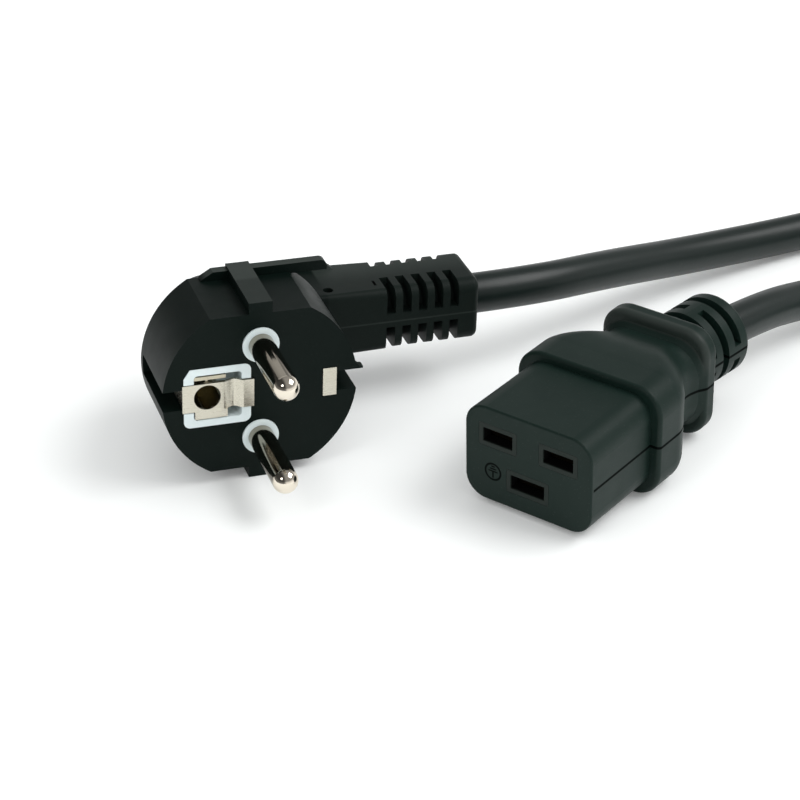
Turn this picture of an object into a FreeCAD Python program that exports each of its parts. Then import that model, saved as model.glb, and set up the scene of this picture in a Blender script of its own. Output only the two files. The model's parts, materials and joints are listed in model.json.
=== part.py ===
import FreeCAD, Part
import math
import os

from FreeCAD import Placement, Rotation, Vector

# Power cord: a right-angled earthed plug, a round cable and a wide three-slot connector.
# All sizes are in millimetres. Plug and connector are each built in their own frame with the mating
# face in the plane y = 0, the face looking along -Y, depth along +Y and up along +Z.

# Fits
fit_gap = 0.05
sheet_gap = 0.15

# Cable and its cores
cord_diameter = 8.0
core_diameter = 2.9
copper_diameter = 1.4
strip_length = 5.0
core_spread = 1.75
core_straight = 6.0

# Plug, front disc
face_radius = 18.4
disc_depth = 16.9
flat_height = 15.8
rib_width = 4.4
rib_height = 18.05
groove_height = 4.0
groove_depth = 3.9
groove_length = 15.5
lip_reach = 1.15
lip_thickness = 0.4
lip_depth = 1.6

# Plug, grip wing along the back of the disc
wing_depth = 2.0
wing_left = 7.3
wing_right = 16.8
upper_wing_height = 17.5
lower_wing_height = 17.2
wing_chamfer_across = 2.3
wing_chamfer_down = 1.4
wing_round = 1.2
wing_thickness = 2.0

# Plug, rear housing and cable arm
housing_left = 13.0
housing_right = 12.0
housing_height = 13.4
housing_round = 8.0
housing_depth = 33.3
housing_back_left = 10.0
housing_back_right = 16.0
housing_back_height = 8.2
housing_back_round = 7.8
shoulder_front = 29.7
shoulder_right = 20.8
shoulder_height = 8.5
shoulder_slope = 2.6
arm_front = 20.0
arm_back = 34.2
arm_top = 6.6
arm_bottom = 6.4
arm_length = 49.6
arm_root_rise = 0.7
arm_root_round = 0.1
arm_round = 2.2
arm_end_round = 1.2
arm_jacket_hold = 8.0

# Plug, slots that let the arm bend
arm_slot_count = 5
arm_slot_first = 31.6
arm_slot_pitch = 3.22
arm_slot_width = 1.75
arm_spine_low = 1.3
arm_spine_high = 1.55
arm_spine_front = 5.8
arm_spine_back = 3.1
arm_slot_wall = 0.6
dimple_radius = 1.0
dimple_depth = 1.5
dimple_inset = 2.8
dimple_along = 19.6

# Plug, live pins
pin_pitch = 19.0
pin_diameter = 4.8
pin_length = 19.0
pin_shank = 11.0
pin_neck = 0.4
barrel_length = 6.0
barrel_radius = 2.0

# Plug, pale insert that carries pins and earth contact
ring_diameter = 6.9
ring_proud = 0.3
insert_front = 3.0
insert_depth = 13.0
insert_edge = 3.0
insert_margin = 2.2
insert_radius = 14.4
frame_width = 12.6
frame_height = 12.0
frame_round = 1.3
frame_chamfer_across = 1.2
frame_chamfer_down = 1.8
frame_wall = 1.4
frame_wall_left = 1.9
frame_wall_right = 1.7
frame_recess = 6.0
recess_round = 0.7
earth_offset = 10.0
frame_shift = 1.89

# Plug, earth strip and its sprung socket
strip_thickness = 0.6
strip_width = 5.6
strip_left = 14.65
strip_right = 1.3
strip_bend_from = 6.9
strip_dip_at = 4.95
strip_dip = 0.7
strip_lift_at = 3.2
strip_lift = 0.35
strip_foot = 4.4
strip_foot_left = 12.3
strip_foot_right = 6.2
leaf_width = 3.4
leaf_length = 12.0
hook_width = 2.6
hook_height = 5.7
hook_left = 11.9
bridge_depth = 8.0
socket_bore = 5.0
socket_wall = 0.4
socket_length = 11.5
socket_slit = 0.8
ledge_left = 12.3
ledge_right = 6.4
ledge_height = 3.3
ledge_wall = 0.7
ledge_depth = 5.0

# Connector, nose, collar, waist and rear flange
nose_width = 27.3
nose_height = 19.5
nose_length = 19.3
nose_round = 4.4
nose_edge = 0.4
collar_width = 31.4
collar_height = 22.8
collar_length = 6.2
collar_round = 5.6
waist_width = 20.0
waist_height = 16.6
waist_round = 6.0
foot_width = 23.0
foot_height = 19.6
foot_length = 1.9
flange_from = 41.7
flange_width = 23.4
flange_height = 22.6
flange_thickness = 4.2
flange_round = 5.2
flange_edge = 1.2

# Connector, slotted strain relief
relief_diameter = 16.4
relief_length = 16.6
relief_turn = 5.4
relief_edge = 1.0
relief_hold = 8.0
relief_slot_first = 5.1
relief_slot_pitch = 3.9
relief_slot_width = 1.9
relief_slot_count = 3
relief_bridge = 3.0
relief_slot_wall = 0.9

# Connector, mating slots and the insert behind them
line_pitch = 13.0
line_height = 4.0
slot_width = 6.4
slot_height = 2.85
earth_slot_width = 7.3
sleeve_wall = 0.9
sleeve_length = 1.6
block_width = 23.4
block_height = 15.6
block_round = 3.0
block_depth = 17.4
chamber_margin = 0.55
chamber_front = 2.4
contact_wall = 0.45
contact_setback = 1.0

# Standing poses on the table top
plug_lean = 1.84
connector_at = (40.9, -29.9)
connector_yaw = -55.24
connector_tilt = 1.6

# Route of the cable on the table top, measured from the middle of the plug's face
plug_straight = 11.8
plug_route = [
    (84.0, 36.5, 12.3),
    (106.0, 46.8, 7.0),
    (137.0, 55.0, 4.0),
    (169.0, 60.3, 4.0),
    (199.5, 66.6, 4.0),
]
connector_straight = 11.3
connector_route = [
    (120.8, 19.5, 6.7),
    (140.2, 21.2, 4.0),
    (158.4, 15.5, 4.0),
    (173.0, 2.7, 4.0),
]

# Coil that holds the rest of the cable, with the strap that ties it
coil_centre = (225.2, 16.2)
coil_inner = 27.0
coil_outer = 58.0
coil_layers = 2
tie_thickness = 0.5
tie_width = 8.0
tie_angle = -25.0


# Basic shapes


def box(x0, x1, y0, y1, z0, z1):
    return Part.makeBox(x1 - x0, y1 - y0, z1 - z0, Vector(x0, y0, z0))


def rod(radius, start, length, direction=Vector(0, 1, 0)):
    return Part.makeCylinder(radius, length, start, direction)


def outline(width, height, radius, y, x=0.0, z=0.0):
    """Rounded rectangle around (x, z) in the plane at depth y."""
    a = width / 2
    b = height / 2
    r = min(radius, a - 0.01, b - 0.01)
    s = r * (1 - math.sqrt(0.5))

    def at(px, pz):
        return Vector(x + px, y, z + pz)

    edges = []
    for sx, sz in ((1, 1), (-1, 1), (-1, -1), (1, -1)):
        along = at(sx * a, sz * (b - r))
        across = at(sx * (a - r), sz * b)
        middle = at(sx * (a - s), sz * (b - s))
        ends = (along, across) if sx * sz > 0 else (across, along)
        edges.append(Part.Arc(ends[0], middle, ends[1]).toShape())
    wire = []
    for i, arc in enumerate(edges):
        wire.append(arc)
        following = edges[(i + 1) % 4]
        wire.append(Part.makeLine(arc.Vertexes[-1].Point, following.Vertexes[0].Point))
    return Part.Wire(wire)


def slab(width, height, radius, y0, y1, x=0.0, z=0.0):
    """Rounded rectangular block from depth y0 to y1."""
    return Part.Face(outline(width, height, radius, y0, x, z)).extrude(Vector(0, y1 - y0, 0))


def ruled_prism(points, direction):
    """Straight-sided block from a closed outline of corner points."""
    return Part.Face(Part.makePolygon(points + points[:1])).extrude(direction)


def fuse_all(shapes):
    return shapes[0].multiFuse(shapes[1:]).removeSplitter()


def mirrored(shape):
    """The shape and its copy below the plane z = 0."""
    return [shape, shape.mirror(Vector(0, 0, 0), Vector(0, 0, 1))]


def rounded(shape, radius, wanted):
    edges = [e for e in shape.Edges if wanted(e)]
    return shape.makeFillet(radius, edges)


def at_depth(y):
    """Test for an edge that lies wholly in the plane at depth y."""
    return lambda e: e.BoundBox.YMax - e.BoundBox.YMin < 1e-6 and abs(e.BoundBox.YMin - y) < 1e-6


# Tubes along a route


def rounded_route(points):
    """Straight runs joined by tangent arcs, with each arc as large as its two runs allow."""
    points = [Vector(*p) for p in points]
    edges = []
    radii = []
    start = points[0]
    for before, corner, after in zip(points, points[1:], points[2:]):
        into = (corner - before).normalize()
        out = (after - corner).normalize()
        turn = into.getAngle(out)
        reach = 0.45 * min(before.distanceToPoint(corner), corner.distanceToPoint(after))
        radius = reach / math.tan(turn / 2)
        inward = (out - into).normalize()
        first = corner - into * reach
        last = corner + out * reach
        middle = corner + inward * (radius / math.cos(turn / 2) - radius)
        edges.append(Part.makeLine(start, first))
        edges.append(Part.Arc(first, middle, last).toShape())
        radii.append(radius)
        start = last
    edges.append(Part.makeLine(start, points[-1]))
    return Part.Wire(edges), radii


def tube(points, radius):
    path = rounded_route(points)[0]
    heading = Vector(*points[1]) - Vector(*points[0])
    ring = Part.Wire([Part.makeCircle(radius, Vector(*points[0]), heading)])
    return path.makePipeShell([ring], True, False)


# Plug, black overmoulding


def plug_disc():
    """Round front with two flats, a rib on each flat, side grooves and a thin lip over the right groove."""
    disc = rod(face_radius, Vector(0, 0, 0), disc_depth)
    reach = face_radius + 1
    flats = box(-reach, reach, 0, disc_depth, -flat_height, flat_height)
    rib = box(-rib_width / 2, rib_width / 2, 0, disc_depth, -rib_height, rib_height)
    lip_foot = groove_height / 2
    lip = ruled_prism([
        Vector(face_radius - 1, 0, lip_foot),
        Vector(face_radius + lip_reach, 0, lip_foot),
        Vector(face_radius + lip_reach, 0, lip_foot + lip_thickness),
        Vector(face_radius + 0.4 * lip_reach, 0, lip_foot + 1.3 * lip_thickness),
        Vector(face_radius - 1, 0, lip_foot + 5 * lip_thickness),
    ], Vector(0, lip_depth, 0))
    disc = fuse_all([disc.common(flats), rib, lip])
    for side in (-1, 1):
        near = side * (face_radius - groove_depth)
        far = side * reach
        groove = box(min(near, far), max(near, far), -1, groove_length, -groove_height / 2, groove_height / 2)
        disc = disc.cut(groove)
    return disc


def plug_wing(height):
    """Narrow finger wing on the back edge of the disc, longer towards the cable."""
    front = disc_depth - wing_depth
    under = height - wing_thickness
    wing = ruled_prism([
        Vector(-wing_left, front, under),
        Vector(wing_right, front, under),
        Vector(wing_right, front, height),
        Vector(-wing_left + wing_chamfer_across, front, height),
        Vector(-wing_left, front, height - wing_chamfer_down),
    ], Vector(0, wing_depth, 0))
    corner = lambda e: (abs(e.BoundBox.XMin - wing_right) < 1e-6 and abs(e.BoundBox.XMax - wing_right) < 1e-6
                        and abs(e.BoundBox.ZMin - height) < 1e-6)
    return rounded(wing, wing_round, corner)


def plug_housing():
    """Rear body that narrows from the disc to a low back."""
    start_middle = (housing_right - housing_left) / 2
    back_middle = (housing_back_right - housing_back_left) / 2
    sections = [
        outline(housing_left + housing_right, 2 * housing_height, housing_round, disc_depth - 1,
                start_middle),
        outline(housing_back_left + housing_back_right, 2 * housing_back_height, housing_back_round,
                housing_depth, back_middle),
    ]
    housing = Part.makeLoft(sections, True, True)
    return rounded(housing, arm_round, at_depth(housing_depth))


def plug_shoulder():
    """Hollow-faced rise at the back of the arm that carries on under the wing, sloping off to the right."""
    rise = shoulder_height - arm_top
    foot = Vector(0, shoulder_front, arm_top)
    crest = Vector(0, shoulder_front + 1.6 * rise, shoulder_height)
    middle = (foot + crest) * 0.5 + Vector(0, 0.25 * rise, -0.3 * rise)
    edges = [
        Part.Arc(foot, middle, crest).toShape(),
        Part.makeLine(crest, Vector(0, housing_depth, shoulder_height - 0.3 * rise)),
        Part.makeLine(Vector(0, housing_depth, shoulder_height - 0.3 * rise), Vector(0, housing_depth, 0)),
        Part.makeLine(Vector(0, housing_depth, 0), Vector(0, shoulder_front, 0)),
        Part.makeLine(Vector(0, shoulder_front, 0), foot),
    ]
    right = shoulder_right + shoulder_slope
    shoulder = Part.Face(Part.Wire(edges)).extrude(Vector(right, 0, 0))
    return shoulder.cut(ruled_prism([
        Vector(shoulder_right, 0, shoulder_height),
        Vector(right, 0, arm_top),
        Vector(right + 1, 0, arm_top),
        Vector(right + 1, 0, shoulder_height + 1),
        Vector(shoulder_right, 0, shoulder_height + 1),
    ], Vector(0, housing_depth + 1, 0)))


def arm_axis():
    """Depth and height of the cable's middle in the arm."""
    return (arm_front + arm_back) / 2, (arm_top - arm_bottom) / 2


def arm_block(x0, x1):
    return box(x0, x1, arm_front, arm_back, -arm_bottom, arm_top)


def arm_root(length):
    """Closed stretch of the arm, higher and sharper towards the disc."""
    sections = []
    for x, rise, radius in ((0.0, arm_root_rise, arm_root_round), (length, 0.0, 0.7 * arm_round)):
        middle_y = (arm_front + arm_back) / 2
        middle_z = (arm_top + rise - arm_bottom) / 2
        section = outline(arm_back - arm_front, arm_top + rise + arm_bottom, radius, -x, middle_y, middle_z)
        section.rotate(Vector(0, 0, 0), Vector(0, 0, 1), 90)
        sections.append(section)
    return Part.makeLoft(sections, True, True)


def plug_arm():
    """Cable arm with four rows of slots, so that it bends with the cable."""
    slotted_from = arm_slot_first - arm_slot_width / 2
    lengthwise = lambda e: e.BoundBox.XLength > 5 and e.BoundBox.YLength < 1e-6
    tip = rounded(arm_block(slotted_from, arm_length), arm_round, lengthwise)
    tip = rounded(tip, arm_end_round, lambda e: e.BoundBox.XMin > arm_length - 1e-6)
    arm = fuse_all([arm_root(slotted_from), tip])
    middle_y, middle_z = arm_axis()
    core = rod(cord_diameter / 2 + arm_slot_wall, Vector(0, middle_y, middle_z), arm_length, Vector(1, 0, 0))
    front = arm_front - 1
    back = arm_back + 1
    cuts = []
    for i in range(arm_slot_count):
        x = arm_slot_first + i * arm_slot_pitch
        x0 = x - arm_slot_width / 2
        x1 = x + arm_slot_width / 2
        for y0, y1 in ((front, arm_front + arm_spine_front), (arm_back - arm_spine_back, back)):
            cuts.append(box(x0, x1, y0, y1, arm_spine_high, arm_top + 1))
            cuts.append(box(x0, x1, y0, y1, -arm_bottom - 1, -arm_spine_low))
    return arm.cut(Part.makeCompound(cuts).cut(core))


def plug_dimple():
    """Small moulding recess in the top of the arm beside the disc."""
    return rod(dimple_radius, Vector(dimple_along, arm_front + dimple_inset, arm_top - dimple_depth),
               dimple_depth + 1, Vector(0, 0, 1))


# Plug, cores and jacket end inside the arm


def core_routes_plug():
    """Route of each core from the jacket's end to its contact."""
    y, z = arm_axis()
    start = arm_length - arm_jacket_hold
    turn = start - 2 * core_straight
    pin_z = pin_pitch / 2
    barrel_end = pin_shank + barrel_length
    routes = {}
    across = core_spread / 2
    for name, side in (("line", 1), ("neutral", -1)):
        offset = side * core_spread * math.sqrt(0.75)
        routes[name] = [
            (start, y - across, z + offset),
            (turn, y - across + 0.1, z + offset * 1.3),
            (5.0, y - across, side * pin_z * 0.6),
            (0.0, y - across - 3.5, side * (pin_z - 0.01)),
            (0.0, barrel_end, side * pin_z),
        ]
    routes["earth"] = [
        (start, y + core_spread, z),
        (turn, y + core_spread + 0.2, z * 0.8),
        (0.0, y + core_spread, z * 0.4),
        (-earth_offset + 0.01, y - 3.1, 0.0),
        (-earth_offset, strip_thickness + socket_length + barrel_length, 0.0),
    ]
    return routes


def core_piece(route, radius=core_diameter / 2):
    return tube(route, radius)


def copper_piece(route, radius=copper_diameter / 2):
    """Bare copper from the end of a core into its barrel."""
    end = Vector(*route[-1])
    before = Vector(*route[-2])
    heading = (end - before).normalize()
    return rod(radius, end, strip_length, heading)


# Plug, pins and earth parts


def pin_room():
    """Radius of the hole that holds a pin's shank."""
    return barrel_radius + 2 * fit_gap


def plug_pin(side):
    """Solid round pin with a domed end and a drilled crimp barrel behind the face."""
    radius = pin_diameter / 2
    z = side * pin_pitch / 2
    straight = pin_length - radius
    pin = rod(radius, Vector(0, -straight, z), straight - pin_neck)
    shank = rod(barrel_radius + fit_gap, Vector(0, -pin_neck, z), pin_neck + pin_shank)
    dome = Part.makeSphere(radius, Vector(0, -straight, z))
    barrel = rod(barrel_radius, Vector(0, pin_shank, z), barrel_length)
    hole_start = pin_shank + barrel_length - strip_length
    hole = rod(copper_diameter / 2 + fit_gap, Vector(0, hole_start, z), strip_length)
    return fuse_all([pin, dome, shank, barrel]).cut(hole)


def strip_boxes(gap=0.0):
    """Straight stretches of the folded earth strip, each widened by a gap where it is cut from plastic."""
    t = strip_thickness
    half = strip_width / 2 + gap
    hook_half = hook_height / 2 + gap
    leaf_half = leaf_width / 2 + gap
    hook_right = hook_left + hook_width
    back = bridge_depth + t
    pieces = [
        (-strip_left, -strip_right, 0, t, half),
        (-strip_left, -strip_left + t, 0, leaf_length, leaf_half),
        (-strip_right - t, -strip_right, -strip_lift, back, half),
        (-strip_right - t, hook_left + t, bridge_depth, back, half),
        (hook_left, hook_left + t, 0, back, half),
        (hook_left, hook_right, 0, t, hook_half),
        (hook_right - t, hook_right, 0, leaf_length, leaf_half),
    ]
    return [box(x0 - gap, x1 + gap, y0 - gap, y1 + gap, -h, h) for x0, x1, y0, y1, h in pieces]


def strip_bend():
    """The plate dips into the recess beside the hole and then rises over the frame's right wall."""
    half = strip_width / 2
    t = strip_thickness

    def place(x, y, back):
        return Vector(-x, y + (t if back else 0), -half)

    def curve(back):
        dip = [(strip_bend_from, 0), (strip_bend_from - 0.7, 0), (strip_dip_at + 0.7, strip_dip),
               (strip_dip_at, strip_dip)]
        rise = [(strip_dip_at, strip_dip), (strip_dip_at - 0.7, strip_dip),
                (strip_lift_at + 0.7, -strip_lift), (strip_lift_at, -strip_lift)]
        edges = []
        for poles in (dip, rise):
            bend = Part.BezierCurve()
            bend.setPoles([place(x, y, back) for x, y in poles])
            edges.append(bend.toShape())
        start = place(strip_lift_at, -strip_lift, back)
        edges.append(Part.makeLine(start, place(strip_right, -strip_lift, back)))
        return edges

    ends = [Part.makeLine(place(x, y, False), place(x, y, True))
            for x, y in ((strip_bend_from, 0), (strip_right, -strip_lift))]
    wire = Part.Wire(Part.__sortEdges__(curve(False) + curve(True) + ends))
    return Part.Face(wire).extrude(Vector(0, 0, 2 * half))


def earth_strip():
    """One folded sheet: plate with the socket hole, two side leaves, a bridge behind the face and a hook."""
    t = strip_thickness
    plate = box(-strip_left, -strip_bend_from, 0, t, -strip_width / 2, strip_width / 2)
    foot = box(-strip_foot_left, -strip_foot_right, 0, t, -strip_foot, 0)
    foot = foot.cut(box(-strip_bend_from, 0, -1, 1, -strip_width / 2, 1))
    strip = fuse_all([plate, strip_bend(), foot] + strip_boxes()[1:])
    return strip.cut(rod(socket_bore / 2, Vector(-earth_offset, -1, 0), bridge_depth - 1))


def socket_ledges(gap=0.0):
    """The two flat ledges of the socket, widened by a gap where they are cut from plastic."""
    front = strip_thickness
    ledge = box(-ledge_left - gap, -ledge_right + gap, front - gap, front + ledge_depth + gap,
                ledge_height - gap, ledge_height + ledge_wall + gap)
    return mirrored(ledge)


def earth_socket():
    """Rolled spring socket behind the hole of the strip, with two ledges and a barrel for the earth core."""
    inner = socket_bore / 2
    outer = inner + socket_wall
    start = strip_thickness
    floor = start + socket_length
    shell = rod(outer, Vector(-earth_offset, start, 0), socket_length)
    barrel = rod(barrel_radius, Vector(-earth_offset, floor, 0), barrel_length)
    pieces = [shell, barrel] + socket_ledges()
    for side in (-1, 1):
        web = side * inner
        high = side * (ledge_height + ledge_wall)
        pieces.append(box(-earth_offset - socket_wall / 2, -earth_offset + socket_wall / 2, start,
                          start + ledge_depth, min(web, high), max(web, high)))
    socket = fuse_all(pieces)
    bore = rod(inner, Vector(-earth_offset, -1, 0), 1 + floor - socket_wall)
    hole = rod(copper_diameter / 2 + fit_gap,
               Vector(-earth_offset, floor + barrel_length - strip_length, 0), strip_length)
    slit = box(-earth_offset, -earth_offset + outer + 1, start - 1, floor - 2 * socket_wall,
               -socket_slit / 2, socket_slit / 2)
    return socket.cut(bore).cut(hole).cut(slit)


def socket_room(gap):
    """Space that the socket takes in the pale insert and the shell behind it."""
    outer = socket_bore / 2 + socket_wall + gap
    floor = strip_thickness + socket_length
    return fuse_all([
        rod(outer, Vector(-earth_offset, 0, 0), floor + gap),
        rod(barrel_radius + gap, Vector(-earth_offset, floor, 0), barrel_length + gap),
    ])


def insert_solid(gap=0.0):
    """Outer form of the pale insert: a bridge behind the face, two rings and the earth frame."""
    left = -insert_radius
    right = ring_diameter / 2 + insert_margin
    top = pin_pitch / 2 + ring_diameter / 2 + insert_margin - 1
    bridge = slab(right - left + 2 * gap, 2 * (top + gap), insert_edge, insert_front - gap,
                  insert_depth + gap, (left + right) / 2)
    bridge = bridge.common(rod(insert_radius + gap, Vector(0, 0, 0), insert_depth + gap))
    frame = slab(frame_width + 2 * gap, frame_height + 2 * gap, frame_round + gap, 0,
                 insert_front + 1, -earth_offset + frame_shift)
    corner_left = -earth_offset + frame_shift - frame_width / 2 - gap
    corner_top = frame_height / 2 + gap
    frame = frame.cut(ruled_prism([
        Vector(corner_left, -1, corner_top - frame_chamfer_down),
        Vector(corner_left + frame_chamfer_across, -1, corner_top),
        Vector(corner_left + frame_chamfer_across, -1, corner_top + 1),
        Vector(corner_left - 1, -1, corner_top + 1),
        Vector(corner_left - 1, -1, corner_top - frame_chamfer_down),
    ], Vector(0, insert_front + 3, 0)))
    rings = []
    for side in (-1, 1):
        rings.append(rod(ring_diameter / 2 + gap, Vector(0, -ring_proud, side * pin_pitch / 2),
                         insert_front + 1 + ring_proud))
    return fuse_all([bridge, frame] + rings)


def plug_insert():
    """Pale insert with holes for the pins, the recess of the earth contact and a way for the strip."""
    insert = insert_solid()
    recess_width = frame_width - frame_wall_left - frame_wall_right
    recess_middle = -earth_offset + frame_shift + (frame_wall_left - frame_wall_right) / 2
    recess = slab(recess_width, frame_height - 2 * frame_wall, recess_round, -1, frame_recess, recess_middle)
    insert = insert.cut(recess)
    for side in (-1, 1):
        insert = insert.cut(rod(pin_room(), Vector(0, -1, side * pin_pitch / 2), insert_depth + 2))
    insert = insert.cut(socket_room(fit_gap))
    for piece in strip_boxes(sheet_gap) + socket_ledges(sheet_gap):
        insert = insert.cut(piece)
    return insert


def plug_shell():
    """Black overmoulding in one piece: disc, wings, rear housing and cable arm."""
    lower_wing = plug_wing(lower_wing_height).mirror(Vector(0, 0, 0), Vector(0, 0, 1))
    shoulders = mirrored(plug_shoulder())
    upper_wing = plug_wing(upper_wing_height)
    shell = fuse_all([plug_disc(), upper_wing, lower_wing, plug_housing(), plug_arm()] + shoulders)
    middle_y, middle_z = arm_axis()
    rooms = [insert_solid(fit_gap), socket_room(fit_gap), plug_dimple()]
    rooms += strip_boxes(sheet_gap)
    for side in (-1, 1):
        z = side * pin_pitch / 2
        rooms.append(rod(pin_room(), Vector(0, 0, z), pin_shank + barrel_length + fit_gap))
    for route in core_routes_plug().values():
        rooms.append(core_piece(route, core_diameter / 2 + fit_gap))
    start = arm_length - arm_jacket_hold
    rooms.append(rod(cord_diameter / 2 + fit_gap, Vector(start - fit_gap, middle_y, middle_z),
                     arm_jacket_hold + 1, Vector(1, 0, 0)))
    for room in rooms:
        shell = shell.cut(room)
    return shell


# Connector, black overmoulding


def connector_body():
    """Nose, collar, tapering waist and rear flange."""
    nose = slab(nose_width, nose_height, nose_round, 0, nose_length + 1)
    nose = rounded(nose, nose_edge, at_depth(0))
    collar_end = nose_length + collar_length
    collar = slab(collar_width, collar_height, collar_round, nose_length, collar_end)
    collar = rounded(collar, 2 * nose_edge, at_depth(nose_length))
    sections = []
    steps = ((0.0, 0.0, 0.0), (0.12, 0.05, 0.0), (0.235, 0.2, 0.02), (0.395, 0.51, 0.1), (0.537, 0.78, 0.29),
             (0.66, 0.955, 0.5), (0.76, 1.0, 0.68), (0.883, 0.94, 0.855), (1.0, 0.84, 1.0))
    for along, narrowed, lowered in steps:
        y = collar_end + along * (flange_from - collar_end)
        width = collar_width + narrowed * (waist_width - collar_width)
        height = collar_height + lowered * (waist_height - collar_height)
        radius = collar_round + narrowed * (waist_round - collar_round)
        sections.append(outline(width, height, radius, y))
    waist = Part.makeLoft(sections, True, False)
    flange_to = flange_from + flange_thickness
    flange = slab(flange_width, flange_height, flange_round, flange_from, flange_to)
    flange = rounded(flange, flange_edge, at_depth(flange_from))
    flange = rounded(flange, flange_edge, at_depth(flange_to))
    foot_from = flange_from - foot_length
    foot = Part.makeLoft([
        outline(waist_width, waist_height, waist_round, foot_from),
        outline(foot_width, foot_height, waist_round, flange_from + 0.5),
    ], True, True)
    return fuse_all([nose, collar, waist, foot, flange])


def relief_placement():
    """The strain relief leans a little to one side, turned about the back of the flange."""
    pivot = Vector(0, flange_from + flange_thickness, 0)
    return Placement(Vector(0, 0, 0), Rotation(Vector(0, 0, 1), -relief_turn), pivot)


def relief_slots(start):
    """Rings of arc slots, each ring a quarter turn from the last, with two bridges left in a ring."""
    outer = relief_diameter
    inner = cord_diameter / 2 + relief_slot_wall
    cuts = []
    for i in range(relief_slot_count):
        y = start + relief_slot_first + i * relief_slot_pitch - relief_slot_width / 2
        start_point = Vector(0, y, 0)
        ring = rod(outer, start_point, relief_slot_width).cut(rod(inner, start_point, relief_slot_width))
        half = relief_bridge / 2
        if i % 2 == 0:
            bridge = box(-outer, outer, y, y + relief_slot_width, -half, half)
        else:
            bridge = box(-half, half, y, y + relief_slot_width, -outer, outer)
        cuts.append(ring.cut(bridge))
    return Part.makeCompound(cuts)


def connector_relief():
    start = flange_from + flange_thickness
    relief = rod(relief_diameter / 2, Vector(0, start - 1, 0), relief_length + 1)
    relief = rounded(relief, relief_edge, at_depth(start + relief_length))
    relief = relief.cut(relief_slots(start))
    relief.Placement = relief_placement()
    return relief


def jacket_room(gap):
    """Bore that the cable's jacket fills at the end of the strain relief."""
    start = flange_from + flange_thickness + relief_length - relief_hold
    room = rod(cord_diameter / 2 + gap, Vector(0, start - gap, 0), relief_hold + 2)
    room.Placement = relief_placement()
    return room


# Connector, insert, contacts and cores


def slots():
    """Middle and width of the three mating slots."""
    return {
        "line": (-line_pitch / 2, line_height, slot_width),
        "neutral": (line_pitch / 2, line_height, slot_width),
        "earth": (0.0, -line_height, earth_slot_width),
    }


def block_solid(gap=0.0):
    """Outer form of the insert: a block behind the face and three sleeves that reach the face."""
    block = slab(block_width + 2 * gap, block_height + 2 * gap, block_round + gap, sleeve_length - gap,
                 block_depth + gap)
    sleeves = []
    for x, z, width in slots().values():
        sleeves.append(slab(width + 2 * sleeve_wall + 2 * gap, slot_height + 2 * sleeve_wall + 2 * gap,
                            0.4 + gap, 0, sleeve_length + 1, x, z))
    return fuse_all([block] + sleeves)


def chamber_size(width):
    return width + 2 * chamber_margin, slot_height + 2 * chamber_margin


def connector_insert():
    block = block_solid()
    for x, z, width in slots().values():
        block = block.cut(slab(width, slot_height, 0.15, -1, chamber_front + 1, x, z))
        wide, high = chamber_size(width)
        block = block.cut(slab(wide, high, 0.3, chamber_front, block_depth + 1, x, z))
    return block


def contact_piece(name):
    """Folded contact: a box of sheet open at the front, with a drilled crimp barrel at its back."""
    x, z, width = slots()[name]
    wide, high = chamber_size(width)
    wide -= 2 * fit_gap
    high -= 2 * fit_gap
    back = block_depth - contact_setback
    front = chamber_front + contact_setback
    cage = slab(wide, high, 0.3, front, back, x, z)
    hollow = slab(wide - 2 * contact_wall, high - 2 * contact_wall, 0.15, front - 1,
                  back - contact_wall, x, z)
    seam = box(x - 0.2, x + 0.2, front - 1, back - 2 * contact_wall, z, z + high)
    barrel = rod(min(barrel_radius, high / 2 - 0.05), Vector(x, back - contact_wall, z),
                 barrel_length + contact_wall)
    hole = rod(copper_diameter / 2 + fit_gap, Vector(x, back + barrel_length - strip_length, z), strip_length)
    return fuse_all([cage.cut(hollow).cut(seam), barrel]).cut(hole)


def core_routes_connector():
    """Route of each core from the jacket's end in the relief to its contact."""
    placement = relief_placement()
    start = flange_from + flange_thickness + relief_length - relief_hold
    starts = {"line": (-0.87, 0.5), "neutral": (0.87, 0.5), "earth": (0.0, -1.0)}
    routes = {}
    for name, (x, z, width) in slots().items():
        sx, sz = starts[name]
        first = placement.multVec(Vector(sx * core_spread, start, sz * core_spread))
        second = placement.multVec(Vector(sx * core_spread, start - core_straight, sz * core_spread))
        end = block_depth - contact_setback + barrel_length
        routes[name] = [
            tuple(first),
            tuple(second),
            (x, end + core_straight, z),
            (x, end, z + 0.01),
        ]
    return routes


def connector_shell():
    """Black overmoulding in one piece: nose, collar, waist, flange and slotted strain relief."""
    shell = fuse_all([connector_body(), connector_relief()])
    rooms = [block_solid(fit_gap), jacket_room(fit_gap)]
    for name, (x, z, width) in slots().items():
        high = chamber_size(width)[1]
        radius = min(barrel_radius, high / 2 - 0.05) + fit_gap
        rooms.append(rod(radius, Vector(x, block_depth - contact_setback, z), barrel_length + fit_gap))
    for route in core_routes_connector().values():
        rooms.append(core_piece(route, core_diameter / 2 + fit_gap))
    for room in rooms:
        shell = shell.cut(room)
    return shell


# Standing poses


def bounds(shapes):
    boxes = [s.optimalBoundingBox(True, False) for s in shapes]
    whole = boxes[0]
    for one in boxes[1:]:
        whole.add(one)
    return whole


def stand(pieces, shell, turn, x, y):
    """Turn the pieces and set them down on the floor with their face's middle over (x, y)."""
    turned = shell.copy()
    turned.Placement = turn
    place = Placement(Vector(x, y, -bounds([turned]).ZMin), turn.Rotation)
    for name, piece in pieces.items():
        pieces[name] = piece.transformed(place.toMatrix())
    return place


def plug_turn():
    """The plug stands on its rim and leans a little towards its cable arm."""
    return Placement(Vector(0, 0, 0), Rotation(Vector(0, 1, 0), plug_lean))


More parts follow.
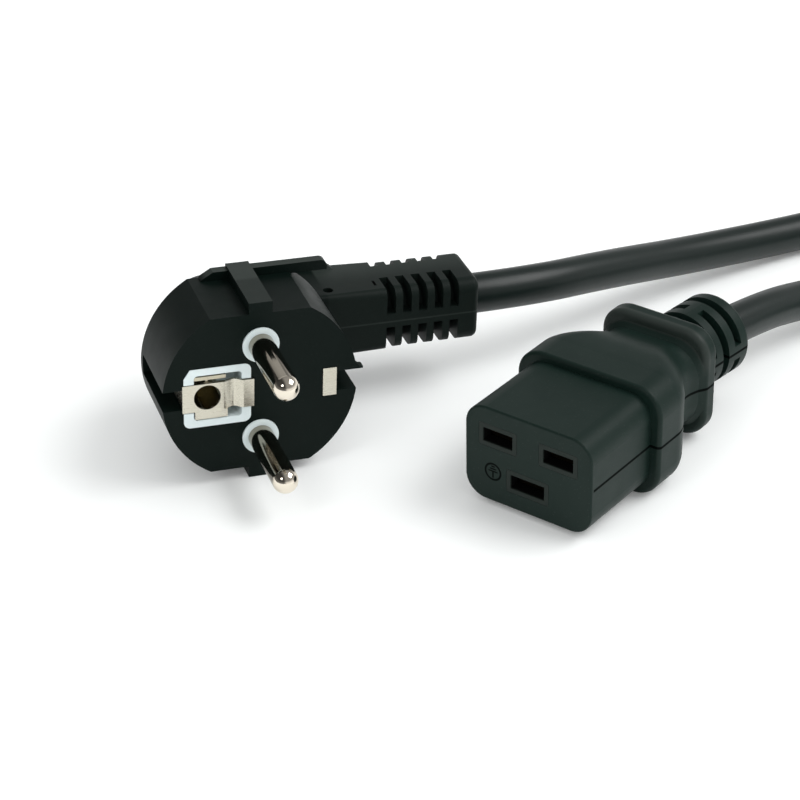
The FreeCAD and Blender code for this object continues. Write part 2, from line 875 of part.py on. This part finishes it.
def connector_turn():
    """The connector rests on its collar with the nose down a little."""
    tilt = Rotation(Vector(1, 0, 0), connector_tilt)
    yaw = Rotation(Vector(0, 0, 1), connector_yaw)
    return Placement(Vector(0, 0, 0), yaw.multiply(tilt))


# Cable on the table top


def plug_lead_points(place):
    y, z = arm_axis()
    first = place.multVec(Vector(arm_length - arm_jacket_hold, y, z))
    second = place.multVec(Vector(arm_length + plug_straight, y, z))
    return [tuple(first), tuple(second)] + plug_route


def connector_lead_points(place):
    end = flange_from + flange_thickness + relief_length
    inside = relief_placement().multVec(Vector(0, end - relief_hold, 0))
    outside = relief_placement().multVec(Vector(0, end + connector_straight, 0))
    return [tuple(place.multVec(inside)), tuple(place.multVec(outside))] + connector_route


def coil_tie():
    """Strap round the bundle of the coil."""
    low = coil_inner - tie_thickness
    high = coil_outer + tie_thickness
    top = coil_layers * cord_diameter
    outer = box(low, high, -tie_width / 2, tie_width / 2, 0, top + tie_thickness)
    inner = box(coil_inner, coil_outer, -tie_width, tie_width, tie_thickness, top)
    tie = outer.cut(inner)
    place = Placement(Vector(*coil_centre, 0), Rotation(Vector(0, 0, 1), tie_angle))
    return tie.transformed(place.toMatrix())


def coil_ring():
    """Outer form of the coil."""
    top = coil_layers * cord_diameter
    centre = Vector(*coil_centre, 0)
    ring = rod(coil_outer, centre, top, Vector(0, 0, 1)).cut(rod(coil_inner, centre, top, Vector(0, 0, 1)))
    return ring.cut(coil_tie())


def cable_pieces(plug_place, connector_place):
    ring = rod(coil_outer, Vector(*coil_centre, 0), coil_layers * cord_diameter, Vector(0, 0, 1))
    radius = cord_diameter / 2
    return {
        "cord_plug_lead": tube(plug_lead_points(plug_place), radius).cut(ring),
        "cord_connector_lead": tube(connector_lead_points(connector_place), radius).cut(ring),
        "cord_coil": coil_ring(),
        "coil_tie": coil_tie(),
    }


def plug_pieces():
    routes = core_routes_plug()
    pieces = {
        "plug_shell": plug_shell(),
        "plug_insert": plug_insert(),
        "plug_pin_upper": plug_pin(1),
        "plug_pin_lower": plug_pin(-1),
        "earth_strip": earth_strip(),
        "earth_socket": earth_socket(),
    }
    for name, route in routes.items():
        pieces["plug_core_" + name] = core_piece(route)
        pieces["plug_copper_" + name] = copper_piece(route)
    return pieces


def connector_pieces():
    pieces = {
        "connector_shell": connector_shell(),
        "connector_insert": connector_insert(),
    }
    for name, route in core_routes_connector().items():
        pieces["connector_contact_" + name] = contact_piece(name)
        pieces["connector_core_" + name] = core_piece(route)
        pieces["connector_copper_" + name] = copper_piece(route)
    return pieces


def print_cable(name, points):
    """Length, smallest bend and volume of one lead against its section."""
    path, radii = rounded_route(points)
    section = math.pi * cord_diameter ** 2 / 4
    whole = tube(points, cord_diameter / 2).Volume
    print(name, "length", round(path.Length, 1), "radii", [round(r, 1) for r in radii],
          "volume share", round(whole / section / path.Length, 4))


def print_mounts(shift):
    """Middle and direction of each interface in the part's frame."""
    points = {
        "plug face": (plug_place, Vector(0, 0, 0)),
        "pin upper": (plug_place, Vector(0, -pin_length / 2, pin_pitch / 2)),
        "pin lower": (plug_place, Vector(0, -pin_length / 2, -pin_pitch / 2)),
        "earth hole": (plug_place, Vector(-earth_offset, strip_thickness, 0)),
        "connector face": (connector_place, Vector(0, 0, 0)),
    }
    for name, (x, z, width) in slots().items():
        points["slot " + name] = (connector_place, Vector(x, 0, z))
    for name, (place, point) in points.items():
        print(name, place.multVec(point) + shift, place.Rotation.multVec(Vector(0, -1, 0)))


os.makedirs("parts", exist_ok=True)
plug = plug_pieces()
connector = connector_pieces()
plug_place = stand(plug, plug["plug_shell"], plug_turn(), 0, 0)
connector_place = stand(connector, connector["connector_shell"], connector_turn(), *connector_at)
hard = {}
hard.update(plug)
hard.update(connector)
whole = bounds(list(hard.values()))
origin = Vector(-(whole.XMin + whole.XMax) / 2, -(whole.YMin + whole.YMax) / 2, -whole.ZMin)
hard.update(cable_pieces(plug_place, connector_place))
for name, shape in hard.items():
    placed = shape.translated(origin)
    placed.exportStep("parts/" + name + ".step")
    print(name, placed.isValid(), len(placed.Solids), round(placed.Volume, 2))
print_cable("plug lead", plug_lead_points(plug_place))
print_cable("connector lead", connector_lead_points(connector_place))
print_mounts(origin)
print("origin shift", origin, "hard pieces", whole)
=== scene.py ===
import json
import math

import bmesh
import bpy
from mathutils import Euler, Matrix, Vector


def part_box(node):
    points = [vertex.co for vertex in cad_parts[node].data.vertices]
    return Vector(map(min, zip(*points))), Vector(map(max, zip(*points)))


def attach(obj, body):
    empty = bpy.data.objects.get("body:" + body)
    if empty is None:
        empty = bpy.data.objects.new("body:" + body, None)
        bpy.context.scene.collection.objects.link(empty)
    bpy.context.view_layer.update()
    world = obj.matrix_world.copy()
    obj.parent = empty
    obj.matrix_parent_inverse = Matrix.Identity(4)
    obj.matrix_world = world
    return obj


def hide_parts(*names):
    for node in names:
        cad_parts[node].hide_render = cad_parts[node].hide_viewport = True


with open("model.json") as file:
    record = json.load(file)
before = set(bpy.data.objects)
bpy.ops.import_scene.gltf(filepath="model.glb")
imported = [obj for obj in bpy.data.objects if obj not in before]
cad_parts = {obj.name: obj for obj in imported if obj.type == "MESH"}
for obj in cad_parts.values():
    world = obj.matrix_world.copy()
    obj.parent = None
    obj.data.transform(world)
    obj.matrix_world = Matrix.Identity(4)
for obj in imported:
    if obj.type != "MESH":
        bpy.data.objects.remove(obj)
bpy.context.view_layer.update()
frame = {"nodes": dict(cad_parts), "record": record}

nodes = frame["nodes"]
scene = bpy.context.scene

# Frames of the plug and of the connector

pin_length = 0.019
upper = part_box("plug_pin_upper")
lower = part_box("plug_pin_lower")
upper_middle = (upper[0] + upper[1]) / 2
lower_middle = (lower[0] + lower[1]) / 2
face = Vector(((upper_middle.x + lower_middle.x) / 2, upper[0].y + pin_length,
               (upper_middle.z + lower_middle.z) / 2))
plug_lean = math.radians(1.84)
plug_turn = Euler((0, plug_lean, 0)).to_matrix().to_4x4()
plug_frame = Matrix.Translation(face) @ plug_turn

connector_aside = Vector((0.0409, -0.0299, 0))
connector_rise = 0.0108346
connector_face = connector_aside + Vector((face.x, face.y, connector_rise))
connector_tilt = math.radians(1.6)
connector_yaw = math.radians(-55.24)
connector_frame = (Matrix.Translation(connector_face) @ Matrix.Rotation(connector_yaw, 4, "Z")
                   @ Matrix.Rotation(connector_tilt, 4, "X"))


def on_table(x, y, z):
    """A point given in millimetres from the middle of the plug's face and from the table top."""
    return Vector((face.x + x / 1000, face.y + y / 1000, z / 1000))


def plug_point(x, y, z):
    return plug_frame @ Vector((x / 1000, y / 1000, z / 1000))


def connector_point(x, y, z):
    return connector_frame @ Vector((x / 1000, y / 1000, z / 1000))


# Camera

camera_data = bpy.data.cameras.new("camera")
camera_data.sensor_width = 36.0
camera_data.lens = 112.5
camera = bpy.data.objects.new("camera", camera_data)
scene.collection.objects.link(camera)
camera.location = on_table(-99.96, -385.06, 243.25)
camera.rotation_euler = (math.radians(90 - 29.774), 0, math.radians(-18.22))
scene.camera = camera

# Cable

cord_diameter = 0.008
relief_start = 45.9
relief_turn = math.radians(5.4)
relief_sag = Vector((0, 0, -0.0011))


def relief_point(along):
    """A point on the relief's axis, in millimetres behind the flange."""
    depth = relief_start + math.cos(relief_turn) * along
    return connector_point(math.sin(relief_turn) * along, depth, 0)


def cable_route():
    """Plug lead, the coil in two layers and the connector lead, as control points of one smooth line."""
    points = [plug_point(41.6, 27.1, 0.1), plug_point(61.4, 27.1, 0.1)]
    points += [on_table(*p) for p in (
        (84.0, 36.5, 12.3),
        (106.0, 46.8, 7.0),
        (137.0, 55.0, 4.0),
        (169.0, 60.3, 4.0),
        (199.5, 66.6, 4.0),
    )]
    per_turn = 15
    turns = 5.71
    first = math.radians(99.7)
    steps = round(per_turn * turns)
    step = math.radians(360) * turns / steps
    for i in range(steps):
        done = (i + 0.5) / steps
        angle = first - (i + 0.5) * step
        inward = 1 - abs(2 * done - 1)
        radius = (54 - 22.8 * inward) / math.cos(step / 2)
        rise = min(max((done - 0.5) * turns * 4 + 0.5, 0), 1)
        height = 4 + 8 * rise * rise * (3 - 2 * rise)
        points.append(on_table(225.2 + radius * math.cos(angle), 16.2 + radius * math.sin(angle), height))
    points += [on_table(*p) for p in (
        (173.0, 2.7, 11.0),
        (158.4, 15.5, 6.5),
        (140.2, 24.0, 4.8),
        (120.8, 19.8, 7.8),
    )]
    points += [relief_point(27.9) + relief_sag, relief_point(8.6)]
    return points


def smooth_line(name, points, radius, segments=6):
    """A round tube along one NURBS line whose control points are the given ones."""
    curve = bpy.data.curves.new(name, "CURVE")
    curve.dimensions = "3D"
    spline = curve.splines.new("NURBS")
    spline.points.add(len(points) - 1)
    for target, point in zip(spline.points, points):
        target.co = (*point, 1)
        target.radius = radius
    spline.order_u = 3
    spline.use_endpoint_u = True
    spline.resolution_u = 10
    spline.use_smooth = True
    curve.bevel_depth = 1.0
    curve.bevel_resolution = segments
    curve.use_fill_caps = True
    line = bpy.data.objects.new(name, curve)
    scene.collection.objects.link(line)
    return line


cable = smooth_line("cable", cable_route(), cord_diameter / 2, 7)
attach(cable, "root")
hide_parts("cord_plug_lead", "cord_coil", "cord_connector_lead")

# Light, floor and backdrop


def area_lamp(name, place, target, size, energy):
    """A rectangular lamp turned to its target."""
    data = bpy.data.lights.new(name, "AREA")
    data.shape = "RECTANGLE"
    data.size, data.size_y = size
    data.energy = energy
    lamp = bpy.data.objects.new(name, data)
    scene.collection.objects.link(lamp)
    lamp.location = place
    lamp.rotation_euler = (target - place).to_track_quat("-Z", "Y").to_euler()


centre = on_table(30, 10, 10)
area_lamp("key", centre + Vector((0.75, -0.25, 0.95)), centre, (0.9, 0.6), 9.0)
area_lamp("fill", centre + Vector((-0.9, -0.6, 0.9)), centre, (0.3, 0.3), 1.8)
area_lamp("back", centre + Vector((-0.1, 1.1, 0.8)), centre, (1.2, 0.5), 0.8)


# Materials


class Socket:
    """One shader value, so that node maths reads as plain arithmetic."""

    def __init__(self, paint, value):
        self.paint = paint
        self.value = value

    def maths(self, operation, *others):
        return self.paint.node("ShaderNodeMath", (self,) + others, operation=operation)

    def __add__(self, other):
        return self.maths("ADD", other)

    def __radd__(self, other):
        return self.maths("ADD", other)

    def __sub__(self, other):
        return self.maths("SUBTRACT", other)

    def __rsub__(self, other):
        return (self * -1) + other

    def __mul__(self, other):
        return self.maths("MULTIPLY", other)

    def __rmul__(self, other):
        return self.maths("MULTIPLY", other)

    def __truediv__(self, other):
        return self.maths("DIVIDE", other)

    def __pow__(self, other):
        return self.maths("POWER", other)

    def abs(self):
        return self.maths("ABSOLUTE")

    def clamp(self):
        return self.maths("MINIMUM", 1.0).maths("MAXIMUM", 0.0)

    def between(self, low, high):
        """0 below low, 1 above high and smooth in between."""
        t = ((self - low) / (high - low)).clamp()
        return t * t * (3.0 - 2.0 * t)


class Graph:
    """A node tree whose nodes are made by one call each."""

    def __init__(self, tree):
        self.tree = tree

    def node(self, kind, inputs=(), output=0, named=None, **settings):
        node = self.tree.nodes.new(kind)
        for key, value in settings.items():
            setattr(node, key, value)
        pairs = list(enumerate(inputs)) + list((named or {}).items())
        for key, value in pairs:
            socket = node.inputs[key]
            if isinstance(value, Socket):
                self.tree.links.new(value.value, socket)
            elif isinstance(value, tuple) and len(value) == 3 and socket.type == "RGBA":
                socket.default_value = (*value, 1)
            else:
                socket.default_value = value
        return Socket(self, node.outputs[output])

    def ray(self, kind):
        return self.node("ShaderNodeLightPath", output="Is %s Ray" % kind)


class Paint(Graph):
    """A procedural material on one Principled shader."""

    def __init__(self, name, **constants):
        self.material = bpy.data.materials.new(name)
        self.material.use_nodes = True
        super().__init__(self.material.node_tree)
        self.shader = self.tree.nodes["Principled BSDF"]
        for key, value in constants.items():
            socket = self.shader.inputs[key.replace("_", " ")]
            socket.default_value = (*value, 1) if isinstance(value, tuple) else value
        self.plain = Socket(self, self.shader.outputs[0])
        self.place = self.node("ShaderNodeTexCoord", output="Object")
        self.facing = self.node("ShaderNodeTexCoord", output="Normal")

    def along(self, origin, axis):
        """Millimetres along an axis from a point of the shared frame."""
        away = self.node("ShaderNodeVectorMath", (self.place, tuple(origin)), operation="SUBTRACT")
        along = self.node("ShaderNodeVectorMath", (away, tuple(axis)), output=1, operation="DOT_PRODUCT")
        return along * 1000.0

    def local(self, matrix):
        """Width, depth and height in millimetres in one of the two frames."""
        return [self.along(matrix.translation, matrix.col[i].to_3d()) for i in range(3)]

    def noise(self, size, detail=3.0, stretch=(1, 1, 1)):
        """Smooth noise from 0 to 1 whose grains are about size metres across."""
        where = self.node("ShaderNodeVectorMath", (self.place, stretch), operation="MULTIPLY")
        return self.node("ShaderNodeTexNoise",
                         named={"Vector": where, "Scale": 1 / size, "Detail": detail})

    def spots(self, size):
        """Distance to the nearest of scattered points, about 0 to 1."""
        return self.node("ShaderNodeTexVoronoi", named={"Vector": self.place, "Scale": 1 / size})

    def mix(self, factor, first, second):
        return self.node("ShaderNodeMix", output=2, data_type="RGBA",
                         named={0: factor, 6: first, 7: second})

    def bump(self, height, distance, strength):
        return self.node("ShaderNodeBump",
                         named={"Height": height, "Distance": distance, "Strength": strength})

    def join(self, kind, *inputs):
        """Show a Mix or Add Shader of the given inputs in place of the plain surface."""
        both = self.node(kind, inputs)
        self.tree.links.new(both.value, self.tree.nodes["Material Output"].inputs["Surface"])

    def cut(self, factor):
        """Painted shade: lightless black where factor is 1, standing in for the shade inside a narrow
        gap.
        """
        hole = self.node("ShaderNodeBsdfDiffuse", ((0.001, 0.001, 0.001),))
        self.join("ShaderNodeMixShader", factor, self.plain, hole)

    def set(self, key, value):
        self.tree.links.new(value.value, self.shader.inputs[key])


def shade(tone, *colour):
    """A colour made darker or lighter as a whole."""
    return tuple(tone * value for value in colour)


def black_moulding(name="black_moulding", marks=None, tone=1.0, gloss=0.18):
    """Semi-matt black plastic with fine specks; marks adds painted shade in cuts and painted highlights
    on lines and faces.
    """
    paint = Paint(name, Specular_IOR_Level=gloss)
    speck = 1.0 - paint.spots(0.0009).between(0.08, 0.18)
    cloud = paint.noise(0.012, 2.0)
    low = shade(tone, 0.0042, 0.0140, 0.0106)
    high = shade(tone, 0.0064, 0.0174, 0.0136)
    colour = paint.mix(cloud, low, high)
    colour = paint.mix(speck * 0.4, colour, shade(tone, 0.030, 0.040, 0.036))
    if marks:
        gap_shade, painted_highlight = marks(paint)
        # Painted highlight: where this mask from marks is on, the black is made paler towards this
        # colour.
        if painted_highlight:
            colour = paint.mix(painted_highlight, colour, (0.030, 0.038, 0.034))
        # Painted shade: where the other mask from marks is on, the surface turns lightless black as in a
        # gap.
        if gap_shade:
            paint.cut(gap_shade)
    paint.set("Base Color", colour)
    paint.set("Roughness", 0.42 + paint.noise(0.004, 3.0) * 0.12)
    paint.set("Normal", paint.bump(paint.noise(0.00035, 2.0) * 0.35, 0.00003, 0.35))
    return paint.material


def line(distance, half_width):
    """1 on a line and 0 away from it."""
    return 1.0 - distance.abs().between(half_width * 0.5, half_width)


# Places of the marks, the painted highlights and the painted shade, in millimetres in the plug's and the
# connector's own frames

arm_from = 18.6
arm_side_to = 20.6
housing_from, housing_to = 24.0, 34.0
wing_from = 9.0
ridge_height = 16.2
nick_across, nick_depth = 29.2, 23.9
sign_across, sign_height, sign_radius = -7.5, -3.35, 1.65
sign_bars = ((0.1, 1.3), (0.6, 0.9), (1.1, 0.5))
flange_from = 41.7


def plug_marks_and_painted_light(paint):
    """Painted highlight along the parting line at the front of the arm, painted shade in a nick in its
    top, and painted highlights making the upward faces at the back and the whole arm paler.
    """
    across, depth, up = paint.local(plug_frame)
    arm = across.between(arm_from, arm_from + 0.6)
    parting = line(up + 0.1, 0.22) * arm * (1.0 - depth.between(arm_side_to, arm_side_to + 0.4))
    # Painted shade: the nick is drawn as a lightless black gap.
    nick = line(across - nick_across, 0.34) * line(depth - nick_depth, 1.3) * up.between(5.0, 6.0)
    # Painted highlight: upward faces of the ridges and of the back, and the whole arm, are made paler,
    # standing in for lit faces.
    facing = paint.node("ShaderNodeSeparateXYZ", (paint.facing,), output=2).between(0.6, 0.95)
    wing = depth.between(wing_from, wing_from + 1.5)
    ridge_highlight = up.between(ridge_height, ridge_height + 0.7) * (0.45 + wing * 0.45)
    housing_highlight = depth.between(housing_from, housing_to) * arm * 0.7
    return nick, parting * 0.5 + facing * (ridge_highlight + housing_highlight) + arm * 0.16


def connector_marks_and_painted_light(paint):
    """Painted shade in the parting line round the sides and in an earth sign beside the lower slot, and a
    painted highlight on the flange face.
    """
    across, depth, up = paint.local(connector_frame)
    # Painted shade: the parting line and the earth sign are drawn as lightless black gaps.
    parting = line(up, 0.36) * depth.between(0.5, 0.9)
    x = across - sign_across
    z = (up - sign_height) * -1.0
    radius = (x * x + z * z) ** 0.5
    sign = line(radius - sign_radius, 0.26) + line(x, 0.22) * line(z - 0.65, 0.85)
    for drop, half in sign_bars:
        sign = sign + line(z + drop, 0.20) * line(x, half)
    sign = sign.clamp() * (1.0 - depth.between(0.2, 0.3))
    # Painted highlight on the upper part of the flange's front face.
    front = depth.between(flange_from - 0.5, flange_from + 0.2)
    behind = depth.between(flange_from + 1.1, flange_from + 1.9)
    flange = front * (1.0 - behind) * up.between(2.0, 6.0)
    return (parting * 0.9 + sign * 0.85).clamp(), flange * 0.8


def cable_jacket():
    """Smoother black rubber with faint lengthwise unevenness."""
    paint = Paint("cable_jacket", Specular_IOR_Level=0.36)
    cloud = paint.noise(0.010, 2.0)
    speck = 1.0 - paint.spots(0.0013).between(0.05, 0.12)
    colour = paint.mix(cloud, (0.0032, 0.0090, 0.0075), (0.0050, 0.0115, 0.0098))
    colour = paint.mix(speck * 0.4, colour, (0.030, 0.036, 0.034))
    paint.set("Base Color", colour)
    paint.set("Roughness", 0.34 + paint.noise(0.003, 3.0) * 0.08)
    paint.set("Normal", paint.bump(paint.noise(0.0009, 3.0), 0.00005, 0.3))
    return paint.material


def pale_moulding():
    paint = Paint("pale_moulding", Specular_IOR_Level=0.4)
    cloud = paint.noise(0.003, 3.0)
    paint.set("Base Color", paint.mix(cloud, (0.74, 0.85, 0.86), (0.82, 0.90, 0.91)))
    paint.set("Roughness", 0.38 + cloud * 0.12)
    paint.set("Normal", paint.bump(paint.noise(0.0005, 2.0), 0.00002, 0.3))
    return paint.material


def dark_moulding():
    """Dark block behind the connector's face, with painted shade making it near black deeper in its
    slots.
    """
    paint = Paint("dark_moulding", Specular_IOR_Level=0.15)
    cloud = paint.noise(0.003, 3.0)
    # Painted shade: from 0.1 to 0.5 mm behind the face the colour goes to near black and the surface
    # rougher.
    depth_shade = paint.local(connector_frame)[1].between(0.1, 0.5)
    colour = paint.mix(cloud, (0.013, 0.020, 0.017), (0.018, 0.025, 0.021))
    paint.set("Base Color", paint.mix(depth_shade, colour, (0.0008, 0.0008, 0.0008)))
    paint.set("Roughness", 0.42 + cloud * 0.15 + depth_shade * 0.4)
    paint.set("Normal", paint.bump(paint.noise(0.0005, 2.0), 0.00002, 0.3))
    return paint.material


def pin_metal():
    """Polished pins, with painted shade making their sides brownish and darker and a painted highlight
    making the domed tips brighter.
    """
    paint = Paint("pin_nickel", Metallic=1.0)
    cloud = paint.noise(0.004, 3.0)
    marks = paint.noise(0.0004, 3.0, (1, 1, 0.06))
    # Painted highlight on the domed tips and painted shade along the sides, both in the base colour.
    tip_highlight = 1.0 - paint.local(plug_frame)[1].between(-17.4, -16.4)
    shaded_side = paint.mix(cloud, (0.30, 0.27, 0.22), (0.38, 0.35, 0.29))
    paint.set("Base Color", paint.mix(tip_highlight, shaded_side, (0.80, 0.73, 0.62)))
    paint.set("Roughness", 0.07 + marks * 0.07)
    paint.set("Normal", paint.bump(marks, 0.00001, 0.25))
    return paint.material


def metal(name, low, high, roughness, spread, stretch):
    """Plated metal with fine drawing marks."""
    paint = Paint(name, Metallic=1.0)
    marks = paint.noise(0.0004, 3.0, stretch)
    cloud = paint.noise(0.004, 3.0)
    paint.set("Base Color", paint.mix(cloud, low, high))
    paint.set("Roughness", roughness + marks * spread)
    paint.set("Normal", paint.bump(marks, 0.00001, 0.25))
    return paint.material


def socket_sheet():
    """Spring sheet deep in its hole, with painted shade making it browner and darker further in."""
    paint = Paint("socket_sheet", Metallic=1.0)
    # Painted shade: from 5.5 to 9 mm behind the face the colour goes browner and darker.
    depth_shade = paint.local(plug_frame)[1].between(5.5, 9.0)
    cloud = paint.noise(0.002, 3.0)
    colour = paint.mix(cloud, (0.44, 0.40, 0.30), (0.60, 0.56, 0.44))
    paint.set("Base Color", paint.mix(depth_shade, colour, (0.26, 0.23, 0.14)))
    paint.set("Roughness", 0.16 + cloud * 0.12)
    paint.set("Normal", paint.bump(cloud, 0.00002, 0.2))
    return paint.material


def insulation(name, low, high):
    paint = Paint(name, Specular_IOR_Level=0.4)
    cloud = paint.noise(0.003, 2.0)
    paint.set("Base Color", paint.mix(cloud, low, high))
    paint.set("Roughness", 0.4 + cloud * 0.1)
    paint.set("Normal", paint.bump(cloud, 0.00005, 0.2))
    return paint.material


def striped_insulation():
    """Green insulation with a yellow stripe along it."""
    paint = Paint("core_stripe", Specular_IOR_Level=0.4)
    stripe = paint.noise(0.003, 0.0).between(0.47, 0.53)
    paint.set("Base Color", paint.mix(stripe, (0.04, 0.22, 0.04), (0.62, 0.52, 0.03)))
    paint.set("Roughness", 0.4 + stripe * 0.05)
    return paint.material


def woven_strap():
    paint = Paint("woven_strap", Specular_IOR_Level=0.2)
    rows = paint.noise(0.0004, 1.0)
    paint.set("Base Color", paint.mix(rows, (0.008, 0.008, 0.008), (0.03, 0.03, 0.03)))
    paint.set("Roughness", 0.75 + rows * 0.15)
    paint.set("Normal", paint.bump(rows, 0.0002, 0.8))
    return paint.material


materials = {
    "black_pvc": black_moulding(),
    "pale_insert": pale_moulding(),
    "dark_insert": dark_moulding(),
    "pin_nickel": pin_metal(),
    "sheet_nickel": metal("sheet_nickel", (0.56, 0.53, 0.44), (0.66, 0.63, 0.54),
                          0.20, 0.14, (0.1, 1, 1)),
    # Painted shade: the brass contacts deep in the slots are given a near-black colour in place of bright
    # brass.
    "contact_brass": metal("contact_brass", (0.05, 0.04, 0.02), (0.09, 0.07, 0.04),
                           0.55, 0.15, (0.1, 1, 1)),
    "copper": metal("copper", (0.66, 0.30, 0.17), (0.76, 0.40, 0.24),
                    0.3, 0.15, (1, 0.1, 1)),
    "core_brown": insulation("core_brown", (0.12, 0.05, 0.02), (0.16, 0.07, 0.03)),
    "core_blue": insulation("core_blue", (0.03, 0.10, 0.36), (0.04, 0.13, 0.44)),
    "core_green_yellow": striped_insulation(),
    "cord_jacket": cable_jacket(),
    "tie_strap": woven_strap(),
}


def finish_with(piece, slot):
    """Give a piece the finish of one of the record's slots."""
    data = piece.data
    if data.materials:
        for i in range(len(data.materials)):
            data.materials[i] = materials[slot]
    else:
        data.materials.append(materials[slot])


for part in frame["record"]["subparts"]:
    finish_with(nodes[part["node"]], part["material_slot"])
finish_with(cable, "cord_jacket")
nodes["plug_shell"].data.materials[0] = black_moulding("black_plug", plug_marks_and_painted_light, 0.40, 0.10)
nodes["connector_shell"].data.materials[0] = black_moulding("black_connector", connector_marks_and_painted_light)
nodes["earth_socket"].data.materials[0] = socket_sheet()


def floor():
    """Pale table top that shows white to the camera and keeps the shadows."""
    paint = Paint("table_top", Base_Color=(0.90, 0.92, 0.915), Roughness=0.9, Specular_IOR_Level=0.0)
    seen = (paint.ray("Camera") + paint.ray("Glossy") + paint.ray("Transmission")).clamp()
    white = paint.node("ShaderNodeEmission", named={"Strength": seen * 0.10})
    paint.join("ShaderNodeAddShader", paint.plain, white)
    mesh = bpy.data.meshes.new("table_top")
    shape = bmesh.new()
    bmesh.ops.create_grid(shape, x_segments=1, y_segments=1, size=6.0)
    shape.to_mesh(mesh)
    shape.free()
    mesh.materials.append(paint.material)
    plane = bpy.data.objects.new("table_top", mesh)
    scene.collection.objects.link(plane)


def backdrop():
    """White to the camera and near the horizon, dimmer overhead and to the left in reflections."""
    world = bpy.data.worlds.new("studio")
    world.use_nodes = True
    scene.world = world
    graph = Graph(world.node_tree)
    direction = graph.node("ShaderNodeTexCoord", output="Generated")
    right = graph.node("ShaderNodeSeparateXYZ", (direction,), output=0)
    up = graph.node("ShaderNodeSeparateXYZ", (direction,), output=2)
    shown = (graph.ray("Camera") + graph.ray("Transmission")).clamp()
    panel = 0.15 + right.between(-0.45, 0.0) * 0.85
    mirrored = graph.ray("Glossy") * (1.0 - up.between(0.10, 0.42) * 0.7) * panel
    strength = shown + mirrored + (1.0 - shown - graph.ray("Glossy")).clamp() * 0.75
    background = graph.tree.nodes["Background"]
    graph.tree.links.new(strength.value, background.inputs["Strength"])
    background.inputs["Color"].default_value = (1, 1, 1, 1)


floor()
backdrop()

scene.view_settings.view_transform = "Standard"
